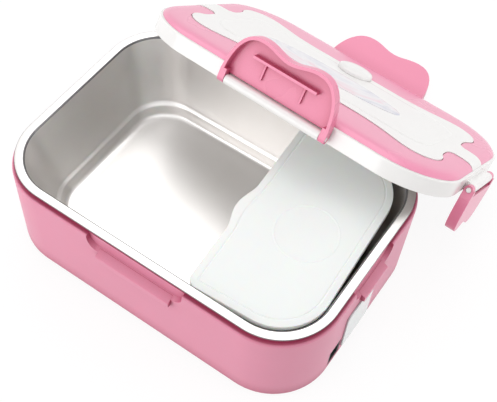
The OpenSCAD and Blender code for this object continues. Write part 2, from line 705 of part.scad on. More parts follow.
outer_shell();
bottom_cover();
rubber_feet();
bottom_screws();
inner_liner();
heating_plate();
ptc_heater();
heater_clamp();
clamp_screws();
thermostat();
thermal_fuse();
power_inlet();
inlet_pins();
lead_live();
lead_bridge();
lead_return();
side_plate();
steel_container();
side_box();
side_box_cover();
lid_cover();
lid_inner_panel();
lid_gasket();
trim_front();
trim_rear();
lid_label();
vent_plug();
front_latch();
right_latch();
rear_latch();
left_latch();
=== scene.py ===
# Electric lunch box: heated base, steel container, covered side box, and the lid leaning behind them.
import json
import math

import bpy
from mathutils import Matrix, Vector


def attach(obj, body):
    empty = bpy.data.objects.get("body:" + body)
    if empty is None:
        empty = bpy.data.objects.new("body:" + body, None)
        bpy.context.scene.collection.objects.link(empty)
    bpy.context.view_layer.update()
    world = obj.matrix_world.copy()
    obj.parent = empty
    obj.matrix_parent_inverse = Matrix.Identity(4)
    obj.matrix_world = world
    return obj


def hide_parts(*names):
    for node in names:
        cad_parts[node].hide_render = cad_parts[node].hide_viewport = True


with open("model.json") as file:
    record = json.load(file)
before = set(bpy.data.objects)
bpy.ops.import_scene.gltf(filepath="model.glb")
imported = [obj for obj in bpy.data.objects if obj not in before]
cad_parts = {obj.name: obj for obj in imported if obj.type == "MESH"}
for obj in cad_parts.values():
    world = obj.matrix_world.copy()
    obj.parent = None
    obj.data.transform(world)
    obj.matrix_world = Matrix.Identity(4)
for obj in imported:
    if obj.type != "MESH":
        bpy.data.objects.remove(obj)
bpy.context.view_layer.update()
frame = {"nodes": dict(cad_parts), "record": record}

# ---------- camera ----------
# The photograph looks down on the front right corner, from about arm's length, through a longish
# lens. The place and the three directions come from the outlines of the rim, the base and the lid.
eye = Vector((0.1989, -0.2970, 0.5680))
picture_right = Vector((0.82321, 0.56544, 0.05107))
picture_up = Vector((-0.4920, 0.6656, 0.5611))
towards_eye = picture_right.cross(picture_up)
bpy.ops.object.camera_add()
camera = bpy.context.object
camera.matrix_world = Matrix((picture_right, picture_up, towards_eye)).transposed().to_4x4()
camera.location = eye
camera.data.sensor_fit = 'HORIZONTAL'
camera.data.sensor_width = 36.0
camera.data.lens = 69.36
camera.data.clip_start = 0.01
bpy.context.scene.camera = camera
bpy.context.scene.view_settings.view_transform = 'Standard'

# ---------- floor and light ----------
# A white table in a white studio: the table keeps a faint shadow, the room lights everything evenly,
# and four broad lamps give the shape of the walls.
def any_ray(nodes, links, *kinds):
    """1 for rays of the named kinds, 0 for all others."""
    rays = nodes.new('ShaderNodeLightPath')
    share = rays.outputs[kinds[0]]
    for kind in kinds[1:]:
        either = nodes.new('ShaderNodeMath')
        either.operation = 'MAXIMUM'
        links.new(share, either.inputs[0])
        links.new(rays.outputs[kind], either.inputs[1])
        share = either.outputs[0]
    return share


room = bpy.context.scene.world or bpy.data.worlds.new("room")
bpy.context.scene.world = room
room.use_nodes = True
nodes, links = room.node_tree.nodes, room.node_tree.links
nodes.clear()
ambient = nodes.new('ShaderNodeBackground')
ambient.inputs['Color'].default_value = (1.0, 0.985, 0.98, 1.0)
ambient.inputs['Strength'].default_value = 0.40
white_room = nodes.new('ShaderNodeBackground')
white_room.inputs['Color'].default_value = (1.0, 1.0, 1.0, 1.0)
white_room.inputs['Strength'].default_value = 1.0
choice = nodes.new('ShaderNodeMixShader')
room_seen = any_ray(nodes, links, 'Is Camera Ray', 'Is Transmission Ray', 'Is Glossy Ray')
links.new(room_seen, choice.inputs['Fac'])
links.new(ambient.outputs[0], choice.inputs[1])
links.new(white_room.outputs[0], choice.inputs[2])
sky = nodes.new('ShaderNodeOutputWorld')
links.new(choice.outputs[0], sky.inputs['Surface'])

bpy.ops.object.select_all(action='DESELECT')
bpy.ops.mesh.primitive_plane_add(size=6.0, location=(0, 0, 0))
table = bpy.context.object
table.name = "table"
table_white = bpy.data.materials.new("table_white")
table_white.use_nodes = True
nodes, links = table_white.node_tree.nodes, table_white.node_tree.links
nodes.clear()
table_glow = 0.86
lit_share = nodes.new('ShaderNodeMath')
lit_share.operation = 'MULTIPLY'
lit_share.inputs[1].default_value = table_glow
links.new(any_ray(nodes, links, 'Is Camera Ray', 'Is Glossy Ray'), lit_share.inputs[0])
matt = nodes.new('ShaderNodeBsdfDiffuse')
matt.inputs['Color'].default_value = (0.86, 0.855, 0.85, 1.0)
lit = nodes.new('ShaderNodeEmission')
lit.inputs['Strength'].default_value = 1.05
choice = nodes.new('ShaderNodeMixShader')
links.new(lit_share.outputs[0], choice.inputs['Fac'])
links.new(matt.outputs[0], choice.inputs[1])
links.new(lit.outputs[0], choice.inputs[2])
surface = nodes.new('ShaderNodeOutputMaterial')
links.new(choice.outputs[0], surface.inputs['Surface'])
table.data.materials.append(table_white)

lamp_aim = Vector((0.02, 0.03, 0.05))
lamps = [("lamp_key", (-0.63, -1.12, 0.55), 1.2, 10.5), ("lamp_right", (0.95, 0.40, 0.35), 0.6, 2.8),
         ("lamp_back", (-0.36, 0.64, 1.08), 1.2, 6.8), ("lamp_top", (0.30, -0.25, 1.15), 0.8, 1.5)]
for lamp_name, place, side, watts in lamps:
    bpy.ops.object.light_add(type='AREA', location=place)
    lamp = bpy.context.object
    lamp.name = lamp_name
    lamp.data.size = side
    lamp.data.energy = watts
    lamp.rotation_euler = (lamp_aim - Vector(place)).to_track_quat('-Z', 'Y').to_euler()

# ---------- outer shell ----------
# The base's outer wall, injection-moulded in pink polypropylene with a fine satin grain. A collar
# stands on its shoulder, and each wall has a finger recess with a catch lip moulded below it.
MM = 0.001
half_l, half_d, shoulder, corner_r = 119.0, 84.4, 72.6, 42.0
rim_top = shoulder + 4.66


def take(piece):
    if bpy.context.object and bpy.context.object.mode != 'OBJECT':
        bpy.ops.object.mode_set(mode='OBJECT')
    bpy.ops.object.select_all(action='DESELECT')
    piece.select_set(True)
    bpy.context.view_layer.objects.active = piece


def pick(piece, kind, wanted):
    """Select the faces, edges or points of a piece that pass a test, and stay in edit mode."""
    take(piece)
    bpy.ops.object.mode_set(mode='EDIT')
    bpy.ops.mesh.select_mode(type=kind)
    bpy.ops.mesh.select_all(action='DESELECT')
    bpy.ops.object.mode_set(mode='OBJECT')
    mesh = piece.data
    for item in {'FACE': mesh.polygons, 'EDGE': mesh.edges, 'VERT': mesh.vertices}[kind]:
        item.select = wanted(item)
    bpy.ops.object.mode_set(mode='EDIT')


def ends(piece, edge):
    return [piece.data.vertices[i].co / MM for i in edge.vertices]


def block(name, low, high):
    if bpy.context.object and bpy.context.object.mode != 'OBJECT':
        bpy.ops.object.mode_set(mode='OBJECT')
    bpy.ops.object.select_all(action='DESELECT')
    middle = [(a + b) / 2 * MM for a, b in zip(low, high)]
    bpy.ops.mesh.primitive_cube_add(size=1.0, location=middle)
    piece = bpy.context.object
    piece.name = name
    piece.scale = [(b - a) * MM for a, b in zip(low, high)]
    bpy.ops.object.transform_apply(location=True, rotation=True, scale=True)
    return piece


def rounded_block(name, half_x, half_y, corner, low, high, steps=18, left_corner=None):
    piece = block(name, (-half_x, -half_y, low), (half_x, half_y, high))
    for sign, radius in [(1, corner), (-1, left_corner or corner)]:
        pick(piece, 'EDGE', lambda e: abs(ends(piece, e)[0].z - ends(piece, e)[1].z) > 0.001
             and all(abs(p.x - sign * half_x) < 0.01 and abs(p.y) > half_y - 0.01 for p in ends(piece, e)))
        bpy.ops.mesh.bevel(offset=radius * MM, offset_type='OFFSET', segments=steps, affect='EDGES')
        bpy.ops.object.mode_set(mode='OBJECT')
    return piece


def step_face(inward, outward):
    """Carry the picked flat face on: inwards over its plane and outwards along its normal."""
    if inward > 0:
        bpy.ops.mesh.inset(thickness=inward * MM, depth=outward * MM, use_even_offset=True)
    else:
        bpy.ops.mesh.extrude_region_move(MESH_OT_extrude_region={},
                                         TRANSFORM_OT_translate={"value": (0, 0, outward * MM),
                                                                 "orient_type": 'NORMAL'})


def drop_ring(down, scale_x, scale_y, shift=0.0):
    """Carry the picked level face down or up, and draw it in about the middle."""
    bpy.ops.mesh.extrude_region_move(TRANSFORM_OT_translate={"value": (shift * MM, 0, -down * MM)})
    bpy.ops.transform.resize(value=(scale_x, scale_y, 1.0), center_override=(shift * MM, 0, 0))


def combine(piece, tool, how):
    take(piece)
    bpy.ops.object.modifier_add(type='BOOLEAN')
    fit = piece.modifiers[-1]
    fit.operation = how
    fit.solver = 'EXACT'
    fit.object = tool
    bpy.ops.object.modifier_apply(modifier=fit.name)
    bpy.data.objects.remove(tool, do_unlink=True)


def soften(piece, width, steps=2, angle=40.0):
    take(piece)
    bpy.ops.object.modifier_add(type='BEVEL')
    edge = piece.modifiers[-1]
    edge.width = width * MM
    edge.segments = steps
    edge.limit_method = 'ANGLE'
    edge.angle_limit = math.radians(angle)
    bpy.ops.object.modifier_apply(modifier=edge.name)
    even_out(piece)


def even_out(piece, angle=35.0):
    """Smooth shading that keeps the large flat faces flat."""
    take(piece)
    bpy.ops.object.shade_smooth_by_angle(angle=math.radians(angle))
    bpy.ops.object.modifier_add(type='WEIGHTED_NORMAL')
    weigh = piece.modifiers[-1]
    weigh.keep_sharp = True
    bpy.ops.object.modifier_apply(modifier=weigh.name)


def put(piece, matrix):
    take(piece)
    piece.matrix_world = matrix
    bpy.ops.object.transform_apply(location=True, rotation=True, scale=True)


def wall_frame(side):
    """Local X along the wall, -Y out of it, Z = 0 at the shoulder. 0 front, 1 right, 2 back, 3 left."""
    out = half_d if side % 2 == 0 else half_l
    return (Matrix.Rotation(math.radians(90 * side), 4, 'Z')
            @ Matrix.Translation((0, -out * MM, shoulder * MM)))


def two_tone(nodes, links, place, scale, detail, shade, colour):
    """Soft clouds on Object coordinates, and the blend of two near colours that they drive."""
    cloud = nodes.new('ShaderNodeTexNoise')
    cloud.inputs['Scale'].default_value = scale
    cloud.inputs['Detail'].default_value = detail
    links.new(place.outputs['Object'], cloud.inputs['Vector'])
    tint = nodes.new('ShaderNodeValToRGB')
    tint.color_ramp.elements[0].position = 0.3
    tint.color_ramp.elements[0].color = (*shade, 1.0)
    tint.color_ramp.elements[1].position = 0.7
    tint.color_ramp.elements[1].color = (*colour, 1.0)
    links.new(cloud.outputs['Fac'], tint.inputs['Fac'])
    return cloud.outputs['Fac'], tint.outputs['Color']


def paint_corner_shade(nodes, links, colour, deep, reach, closed, open_from):
    """Paint shade into a colour: blend it into a darker one where ambient occlusion finds the surface hidden
    from the light, in corners and recesses.
    """
    corner = nodes.new('ShaderNodeAmbientOcclusion')
    corner.samples = 8
    corner.inputs['Distance'].default_value = reach
    open_share = nodes.new('ShaderNodeMapRange')
    open_share.inputs['From Min'].default_value = closed
    open_share.inputs['From Max'].default_value = open_from
    links.new(corner.outputs['AO'], open_share.inputs['Value'])
    blend = nodes.new('ShaderNodeMix')
    blend.data_type = 'RGBA'
    blend.inputs[6].default_value = (*deep, 1.0)
    links.new(open_share.outputs['Result'], blend.inputs[0])
    links.new(colour, blend.inputs[7])
    return blend.outputs[2]


def moulded_plastic(name, colour, shade, rough, grain=0.25, coat=0.0, painted_shade=None,
                    spread=(0.009, 0.25, 0.92)):
    """Moulded plastic: a little cloudiness in the colour, a fine spark-eroded grain, an uneven gloss.
    The painted shade colour stands in for shade in corners and recesses, as far as the spread says."""
    material = bpy.data.materials.new(name)
    material.use_nodes = True
    nodes, links = material.node_tree.nodes, material.node_tree.links
    shader = nodes["Principled BSDF"]
    shader.inputs['IOR'].default_value = 1.49
    shader.inputs['Coat Weight'].default_value = coat
    shader.inputs['Coat Roughness'].default_value = 0.12
    place = nodes.new('ShaderNodeTexCoord')
    cloudiness, tone = two_tone(nodes, links, place, 22.0, 3.0, shade, colour)
    if painted_shade:
        tone = paint_corner_shade(nodes, links, tone, painted_shade, *spread)
    links.new(tone, shader.inputs['Base Color'])
    gloss = nodes.new('ShaderNodeMapRange')
    gloss.inputs['To Min'].default_value = rough - 0.04
    gloss.inputs['To Max'].default_value = rough + 0.05
    links.new(cloudiness, gloss.inputs['Value'])
    links.new(gloss.outputs['Result'], shader.inputs['Roughness'])
    sparks = nodes.new('ShaderNodeTexNoise')
    sparks.inputs['Scale'].default_value = 1700.0
    sparks.inputs['Detail'].default_value = 2.0
    links.new(place.outputs['Object'], sparks.inputs['Vector'])
    bump = nodes.new('ShaderNodeBump')
    bump.inputs['Strength'].default_value = grain
    bump.inputs['Distance'].default_value = 0.00006
    links.new(sparks.outputs['Fac'], bump.inputs['Height'])
    links.new(bump.outputs['Normal'], shader.inputs['Normal'])
    return material


def tune(material, settings):
    """Set numbers on the material's own shader."""
    for socket, value in settings.items():
        material.node_tree.nodes["Principled BSDF"].inputs[socket].default_value = value


def fit_out(piece, material, body, slot, *nodes_replaced):
    piece.data.materials.clear()
    piece.data.materials.append(material)
    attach(piece, body)
    if nodes_replaced:
        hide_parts(*nodes_replaced)


wall_low, wall_high = 6.6, shoulder - 1.5
foot_r, foot_steps = 5.0, 6
shell = rounded_block("shell", half_l, half_d, corner_r, wall_low, wall_high)
pick(shell, 'FACE', lambda f: f.normal.z < -0.9)
for k in range(foot_steps):
    before, after = math.radians(90 * k / foot_steps), math.radians(90 * (k + 1) / foot_steps)
    step_face(foot_r * (math.cos(before) - math.cos(after)), foot_r * (math.sin(after) - math.sin(before)))
step_face(1.2, 0)
bpy.ops.mesh.delete(type='FACE')
pick(shell, 'FACE', lambda f: f.normal.z > 0.9)
for inward, up in [(0.12, 0.5), (0.33, 0.55), (0.5, 0.32), (0.55, 0.13), (2.2, 0), (0, 3.5), (0.2, 0.36),
                   (0.6, 0), (0, -1.2), (1.1, 0), (0, -2.3)]:
    step_face(inward, up)
flare_deep, flare_x, flare_y = 3.4, 1.0273, 1.0393
wall_deep, floor_corner_in, floor_corner_deep = 61.2, 3.7, 4.2
drop_ring(flare_deep, flare_x, flare_y)
drop_ring(wall_deep, 1.0, 1.0)
step_face(floor_corner_in, -floor_corner_deep)
bpy.ops.mesh.delete(type='FACE')
bpy.ops.mesh.select_mode(type='EDGE')
bpy.ops.mesh.select_non_manifold()
bpy.ops.mesh.bridge_edge_loops()
bpy.ops.mesh.select_all(action='SELECT')
bpy.ops.mesh.normals_make_consistent(inside=False)
bpy.ops.object.mode_set(mode='OBJECT')

recess_deep, recess_drop, lip_out, lip_drop = 3.15, 9.5, 3.0, 17.6
for side, half_recess in enumerate([36.0, 22.0, 36.0, 22.0]):
    half_ledge = half_recess - 8.0
    backing = block("backing", (-half_recess - 2, 1.9, -recess_drop - 4), (half_recess + 2, 5.2, -0.6))
    put(backing, wall_frame(side))
    combine(shell, backing, 'UNION')
    recess = block("recess", (-half_recess, -4, -recess_drop), (half_recess, recess_deep, 0.02))
    pick(recess, 'EDGE', lambda e: all(p.y < 0 and p.z < -1 for p in ends(recess, e)))
    bpy.ops.transform.translate(value=(0, 0, -4.6 * MM))
    pick(recess, 'EDGE', lambda e: all(p.z < -1 for p in ends(recess, e))
         and abs(ends(recess, e)[0].y - ends(recess, e)[1].y) > 1)
    bpy.ops.mesh.bevel(offset=7.5 * MM, segments=8, affect='EDGES')
    put(recess, wall_frame(side))
    combine(shell, recess, 'DIFFERENCE')
    ledge = block("ledge", (-half_ledge, -lip_out, -lip_drop - 0.8), (half_ledge, 2.4, -recess_drop - 0.3))
    pick(ledge, 'EDGE', lambda e: all(p.y < 0 and p.z > -12 for p in ends(ledge, e)))
    bpy.ops.transform.translate(value=(0, 0, -3.5 * MM))
    pick(ledge, 'EDGE', lambda e: all(p.y < 0 and p.z < -17.8 for p in ends(ledge, e)))
    bpy.ops.transform.translate(value=(0, 0, 0.8 * MM))
    soften(ledge, 0.5, 3)
    put(ledge, wall_frame(side))
    combine(shell, ledge, 'UNION')
inlet_y, inlet_z, inlet_half_w, inlet_half_h = -35.6, 17.6, 6.8, 8.3
mouth = block("mouth", (half_l - 9, inlet_y - inlet_half_w, inlet_z - inlet_half_h),
              (half_l + 6, inlet_y + inlet_half_w, inlet_z + inlet_half_h))
combine(shell, mouth, 'DIFFERENCE')
soften(shell, 0.35, 2, 50)
# Painted shade: the third colour, a deep magenta, darkens the recesses, the ledges and the groove under the
# flange.
pink = moulded_plastic("pink_polypropylene", (0.78, 0.285, 0.41), (0.755, 0.27, 0.39), 0.40, 0.45, 0.0,
                       (0.42, 0.045, 0.115), (0.018, 0.42, 1.0))
tune(pink, {'Subsurface Weight': 0.2, 'Subsurface Radius': (1.0, 0.35, 0.45), 'Subsurface Scale': 0.002})
fit_out(shell, pink, "base", "pink_plastic", "outer_shell")

# ---------- bottom cover, screws and feet ----------
# A moulded plate closes the base from below, held by four self-tapping screws beside soft feet.
def dress(node, material):
    for slot in frame["nodes"][node].material_slots:
        slot.material = material


soft_rubber = moulded_plastic("soft_rubber", (0.60, 0.585, 0.57), (0.54, 0.53, 0.52), 0.75, 0.9)
bare_steel = moulded_plastic("bare_steel", (0.62, 0.62, 0.63), (0.54, 0.54, 0.56), 0.32, 0.3)
tune(bare_steel, {'Metallic': 1.0})
dress("bottom_cover", pink)
dress("rubber_feet", soft_rubber)
dress("bottom_screws", bare_steel)

# ---------- liner and heater ----------
# Under the container: a white inner liner, an aluminium plate in its floor, the ceramic heater
# clamped to the plate, a thermostat, a fuse and the leads from the inlet.
liner_white = moulded_plastic("liner_white", (0.84, 0.835, 0.82), (0.81, 0.80, 0.785), 0.45)
aluminium = moulded_plastic("rolled_aluminium", (0.80, 0.80, 0.81), (0.72, 0.72, 0.74), 0.38, 0.2)
tune(aluminium, {'Metallic': 1.0})
ceramic = moulded_plastic("ceramic", (0.62, 0.58, 0.46), (0.55, 0.51, 0.40), 0.6, 0.7)
brown_sleeve = moulded_plastic("brown_sleeve", (0.28, 0.11, 0.05), (0.23, 0.09, 0.04), 0.5)
blue_sleeve = moulded_plastic("blue_sleeve", (0.05, 0.13, 0.42), (0.04, 0.11, 0.36), 0.5)
for node, material in [("inner_liner", liner_white), ("heating_plate", aluminium), ("ptc_heater", ceramic),
                       ("heater_clamp", bare_steel), ("clamp_screws", bare_steel), ("thermostat", ceramic),
                       ("thermal_fuse", ceramic), ("lead_live", brown_sleeve), ("lead_bridge", brown_sleeve),
                       ("lead_return", blue_sleeve)]:
    dress(node, material)

# ---------- power inlet and side plate ----------
# The inlet is a black socket with two brass pins, pressed in from behind. The plate above it is a
# bare silvery film on a thin raised panel.
def silver_film(name, base, band, glow):
    """Silvery film, softly marbled with two tints, under a clear gloss."""
    material = moulded_plastic(name, base, base, 0.2, 0.1, 0.6)
    nodes, links = material.node_tree.nodes, material.node_tree.links
    shader = nodes["Principled BSDF"]
    place = nodes.new('ShaderNodeTexCoord')
    marbling = nodes.new('ShaderNodeTexNoise')
    marbling.inputs['Scale'].default_value = 34.0
    marbling.inputs['Detail'].default_value = 2.0
    marbling.inputs['Distortion'].default_value = 1.6
    links.new(place.outputs['Object'], marbling.inputs['Vector'])
    tint = nodes.new('ShaderNodeValToRGB')
    tint.color_ramp.elements[0].position = 0.28
    tint.color_ramp.elements[0].color = (*base, 1.0)
    tint.color_ramp.elements[1].position = 0.74
    tint.color_ramp.elements[1].color = (*band, 1.0)
    middle = tint.color_ramp.elements.new(0.5)
    middle.color = (*glow, 1.0)
    links.new(marbling.outputs['Fac'], tint.inputs['Fac'])
    links.new(tint.outputs['Color'], shader.inputs['Base Color'])
    return material


black_plastic = moulded_plastic("black_plastic", (0.02, 0.02, 0.022), (0.015, 0.015, 0.017), 0.5, 0.6)
brass = moulded_plastic("brass", (0.78, 0.60, 0.28), (0.70, 0.52, 0.22), 0.25)
tune(brass, {'Metallic': 1.0})
dress("power_inlet", black_plastic)
dress("inlet_pins", brass)
plate_half_w, plate_half_h, plate_r, plate_t = 16, 19, 3, 1.2
plate_y, plate_drop = -11.5, 41
side_plate = rounded_block("side_plate_film", plate_half_w, plate_half_h, plate_r, 0, plate_t, 6)
soften(side_plate, 0.3)
put(side_plate, Matrix.Translation((half_l * MM, plate_y * MM, (shoulder - plate_drop) * MM))
    @ Matrix(((0, 0, 1), (1, 0, 0), (0, 1, 0))).to_4x4())
plate_film = silver_film("plate_film", (0.70, 0.72, 0.74), (0.80, 0.66, 0.72), (0.62, 0.72, 0.70))
fit_out(side_plate, plate_film, "base", "label_film", "side_plate")

# ---------- steel container ----------
# One deep-drawn stainless pan: a flat flange with a rolled edge, plain walls that lean in, a step
# near the bottom and a softly rounded floor, all with a satin pressed finish.
flange_in, flange_w, steel_t = 2.05, 5.05, 0.8
shade_edge_h, level_from = 1.3, 0.955
mouth_x, mouth_y = half_l - flange_in - flange_w, half_d - flange_in - flange_w
wall_line = [(0.0, 0.0, 0.0), (0.55, 0.55, 0.24), (1.0, 1.0, 0.8), (1.3, 1.3, 1.7), (12.1, 11.5, 48.2),
             (12.5, 11.9, 50.2), (13.0, 12.4, 51.9), (14.6, 13.8, 52.9), (15.3, 14.5, 54.0),
             (16.4, 15.2, 58.6), (16.9, 15.7, 60.2), (17.9, 16.6, 61.3), (19.4, 17.9, 61.9),
             (21.4, 19.6, 62.15), (24.0, 22.0, 62.2)]


def sink_wall(offset):
    """Draw the picked face down along the wall line, one sheet thickness outside or inside."""
    now = (mouth_x + offset, mouth_y + offset, 0.0)
    for in_x, in_y, deep in wall_line[1:]:
        after = (mouth_x - in_x + offset, mouth_y - in_y + offset, deep)
        drop_ring(after[2] - now[2], after[0] / now[0], after[1] / now[1])
        now = after


container = rounded_block("container", half_l - flange_in, half_d - flange_in, corner_r - flange_in,
                          rim_top - steel_t + 0.15, rim_top - 0.25, 22)
pick(container, 'FACE', lambda f: f.normal.z > 0.9)
for inward, up in [(0.1, 0.15), (0.25, 0.1), (4.4, 0), (0.3, 0)]:
    step_face(inward, up)
sink_wall(0.0)
bpy.ops.mesh.select_all(action='DESELECT')
pick(container, 'FACE', lambda f: f.normal.z < -0.9 and f.center.z > 0.07)
for inward, down in [(0.2, 0.15), (4.05, 0)]:
    step_face(inward, down)
sink_wall(steel_t)
bpy.ops.object.mode_set(mode='OBJECT')
bpy.ops.object.shade_smooth_by_angle(angle=math.radians(48))
satin_steel = bpy.data.materials.new("satin_stainless")
satin_steel.use_nodes = True
nodes, links = satin_steel.node_tree.nodes, satin_steel.node_tree.links
shader = nodes["Principled BSDF"]
shader.inputs['Metallic'].default_value = 1.0
place = nodes.new('ShaderNodeTexCoord')
tone = two_tone(nodes, links, place, 9.0, 4.0, (0.72, 0.70, 0.68), (0.79, 0.775, 0.765))[1]
# Painted shade: the colour turns dark grey-brown in the pan's corners, along the floor step and in its other
# hollows.
tone = paint_corner_shade(nodes, links, tone, (0.41, 0.38, 0.365), 0.036, 0.1, 0.65)
# Painted shade: the steep faces at the top of the flange's turned edges are coloured dark grey, drawing thin
# dark lines along the flange.
facing = nodes.new('ShaderNodeNewGeometry')
across = nodes.new('ShaderNodeSeparateXYZ')
links.new(facing.outputs['Normal'], across.inputs[0])
steep = nodes.new('ShaderNodeMath')
steep.operation = 'LESS_THAN'
steep.inputs[1].default_value = level_from
links.new(across.outputs['Z'], steep.inputs[0])
height = nodes.new('ShaderNodeSeparateXYZ')
links.new(place.outputs['Object'], height.inputs[0])
near_rim = nodes.new('ShaderNodeMath')
near_rim.operation = 'GREATER_THAN'
near_rim.inputs[1].default_value = (rim_top - shade_edge_h) * MM
links.new(height.outputs['Z'], near_rim.inputs[0])
edge_shade_mask = nodes.new('ShaderNodeMath')
edge_shade_mask.operation = 'MULTIPLY'
links.new(steep.outputs[0], edge_shade_mask.inputs[0])
links.new(near_rim.outputs[0], edge_shade_mask.inputs[1])
painted_edge_shade = nodes.new('ShaderNodeMix')
painted_edge_shade.data_type = 'RGBA'
painted_edge_shade.inputs[7].default_value = (0.20, 0.195, 0.20, 1.0)
links.new(edge_shade_mask.outputs[0], painted_edge_shade.inputs[0])
links.new(tone, painted_edge_shade.inputs[6])
links.new(painted_edge_shade.outputs[2], shader.inputs['Base Color'])
drawn = nodes.new('ShaderNodeMapping')
drawn.inputs['Scale'].default_value = (1500.0, 1500.0, 160.0)
links.new(place.outputs['Object'], drawn.inputs['Vector'])
streaks = nodes.new('ShaderNodeTexNoise')
streaks.inputs['Scale'].default_value = 1.0
streaks.inputs['Detail'].default_value = 4.0
links.new(drawn.outputs['Vector'], streaks.inputs['Vector'])
gloss = nodes.new('ShaderNodeMapRange')
gloss.inputs['To Min'].default_value = 0.33
gloss.inputs['To Max'].default_value = 0.41
links.new(streaks.outputs['Fac'], gloss.inputs['Value'])
links.new(gloss.outputs['Result'], shader.inputs['Roughness'])
grit = nodes.new('ShaderNodeTexNoise')
grit.inputs['Scale'].default_value = 2600.0
links.new(place.outputs['Object'], grit.inputs['Vector'])
bump = nodes.new('ShaderNodeBump')
bump.inputs['Strength'].default_value = 0.05
bump.inputs['Distance'].default_value = 0.00003
links.new(grit.outputs['Fac'], bump.inputs['Height'])
links.new(bump.outputs['Normal'], shader.inputs['Normal'])
fit_out(container, satin_steel, "container", "stainless_steel", "steel_container")

# ---------- side box ----------
# A white polypropylene box for side dishes. It stands loose on the container's floor, a few degrees
# out of square, and narrows downwards to clear the container's wall.
side_at_x, side_at_y, side_turn = 67.4, -1.0, 3.2
tub_depth, seat_gap = 62.2, 0.15
side_place = (Matrix.Translation((side_at_x * MM, side_at_y * MM, 0))
              @ Matrix.Rotation(math.radians(side_turn), 4, 'Z'))
side_top = shoulder + 0.9
side_low = rim_top - tub_depth + seat_gap
side_x, side_y, side_wall = 37.8, 70.4, 1.6
side_foot_x, side_foot_y, side_foot_shift = 27.0, 54.0, -7.0
side_r, side_left_r, side_edge_h = 32.4, 4.9, 2.4
cover_low, box_high = side_top - 4.0, side_top - 1.65
side_box = rounded_block("side_box_body", side_x, side_y, side_r, cover_low, box_high, 18, side_left_r)
pick(side_box, 'FACE', lambda f: f.normal.z < -0.9)
drop_ring(cover_low - side_low - side_edge_h, side_foot_x / side_x, side_foot_y / side_y, side_foot_shift)
for inward, down in [(0.3, 1.1), (0.8, 0.9), (1.4, 0.4)]:
    step_face(inward, down)
pick(side_box, 'FACE', lambda f: f.normal.z > 0.9)
step_face(side_wall, 0)
drop_ring(box_high - side_low - 3.2, (side_foot_x - side_wall) / (side_x - side_wall),
          (side_foot_y - side_wall) / (side_y - side_wall), side_foot_shift)
for inward, down in [(0.6, -0.9), (1.2, -0.7)]:
    step_face(inward, down)
soften(side_box, 0.25)
put(side_box, side_place)
milky = moulded_plastic("milky_polypropylene", (0.955, 0.95, 0.93), (0.945, 0.935, 0.915), 0.36, 0.2)
tune(milky, {'Subsurface Weight': 0.25, 'Subsurface Scale': 0.004})
fit_out(side_box, milky, "side_box", "white_box_plastic", "side_box")

# ---------- side box cover ----------
# The cover snaps over the side box. It has a shallow groove inside its edge, a plain round boss
# outline in the middle and a finger tab bulging from its long left side.
cover_x, cover_y, cover_r = 39.4, 72.0, 34.0
cover_left_r, cover_high = 6.5, side_top - 0.5
cover = rounded_block("side_box_cover_body", cover_x, cover_y, cover_r, cover_low, cover_high, 24,
                      cover_left_r)
pick(cover, 'FACE', lambda f: f.normal.z < -0.9)
step_face(1.3, 0)
step_face(0, -2.4)
pick(cover, 'FACE', lambda f: f.normal.z > 0.9)
for inward, up in [(0.15, 0.3), (0.35, 0.2), (3.9, 0), (0.35, -0.35), (0.5, 0), (0.35, 0.35)]:
    step_face(inward, up)
tab_mid, tab_half, tab_out = -7.5, 19.0, 4.2
tab_cuts, tab_step, first_cut = 15, 2.75, -27.0
for k in range(tab_cuts):
    bpy.ops.mesh.select_all(action='SELECT')
    bpy.ops.mesh.bisect(plane_co=(0, (first_cut + tab_step * k) * MM, 0), plane_no=(0, 1, 0))
bpy.ops.object.mode_set(mode='OBJECT')
for point in cover.data.vertices:
    x, y = point.co.x / MM, point.co.y / MM
    if x < -30 and abs(y - tab_mid) < tab_half:
        swell = (0.5 + 0.5 * math.cos(math.pi * (y - tab_mid) / tab_half)) ** 0.8
        near_edge = min(1.0, max(0.0, (-x - 30.0) / (cover_x - 31.0)))
        point.co.x -= tab_out * swell * near_edge * MM
ring_r, ring_w, ring_x, ring_y = 21.0, 1.1, 4.0, -3.0
ring_boss = rounded_block("ring_boss", ring_r, ring_r, ring_r - 0.1, side_top - 0.3, side_top + 0.18, 14)
bore_r = ring_r - ring_w
ring_bore = rounded_block("ring_bore", bore_r, bore_r, bore_r - 0.1, side_top - 1, side_top + 1, 14)
combine(ring_boss, ring_bore, 'DIFFERENCE')
put(ring_boss, Matrix.Translation((ring_x * MM, ring_y * MM, 0)))
combine(cover, ring_boss, 'UNION')
soften(cover, 0.12, 1)
put(cover, side_place)
fit_out(cover, milky, "side_box_cover", "white_box_plastic", "side_box_cover")

# ---------- lid cover ----------
# The lid's white body: a skirt that goes round the container's flange, a raised middle with a
# saddle down each short side, and a hinge rod on each side, all one moulding in glossy white.
joints = {j["name"]: j for j in frame["record"]["behaviour"]["joints"]}
lid_x_axis = Vector(joints["front_latch_hinge"]["axis"])
lid_z_axis = Vector(joints["vent_lift"]["axis"])
front_pin = Vector(joints["front_latch_hinge"]["pos_m"])
back_pin = Vector(joints["rear_latch_hinge"]["pos_m"])
hinge_z, hinge_out = 3.5, 4.4
lid_middle = (front_pin + back_pin) / 2 - lid_z_axis * hinge_z * MM
lid_place = Matrix((lid_x_axis, lid_z_axis.cross(lid_x_axis), lid_z_axis)).transposed().to_4x4()
lid_place.translation = lid_middle
skirt_h, lid_r, dome_in, plateau_z = 11.2, 45.0, 1.6, 16.0


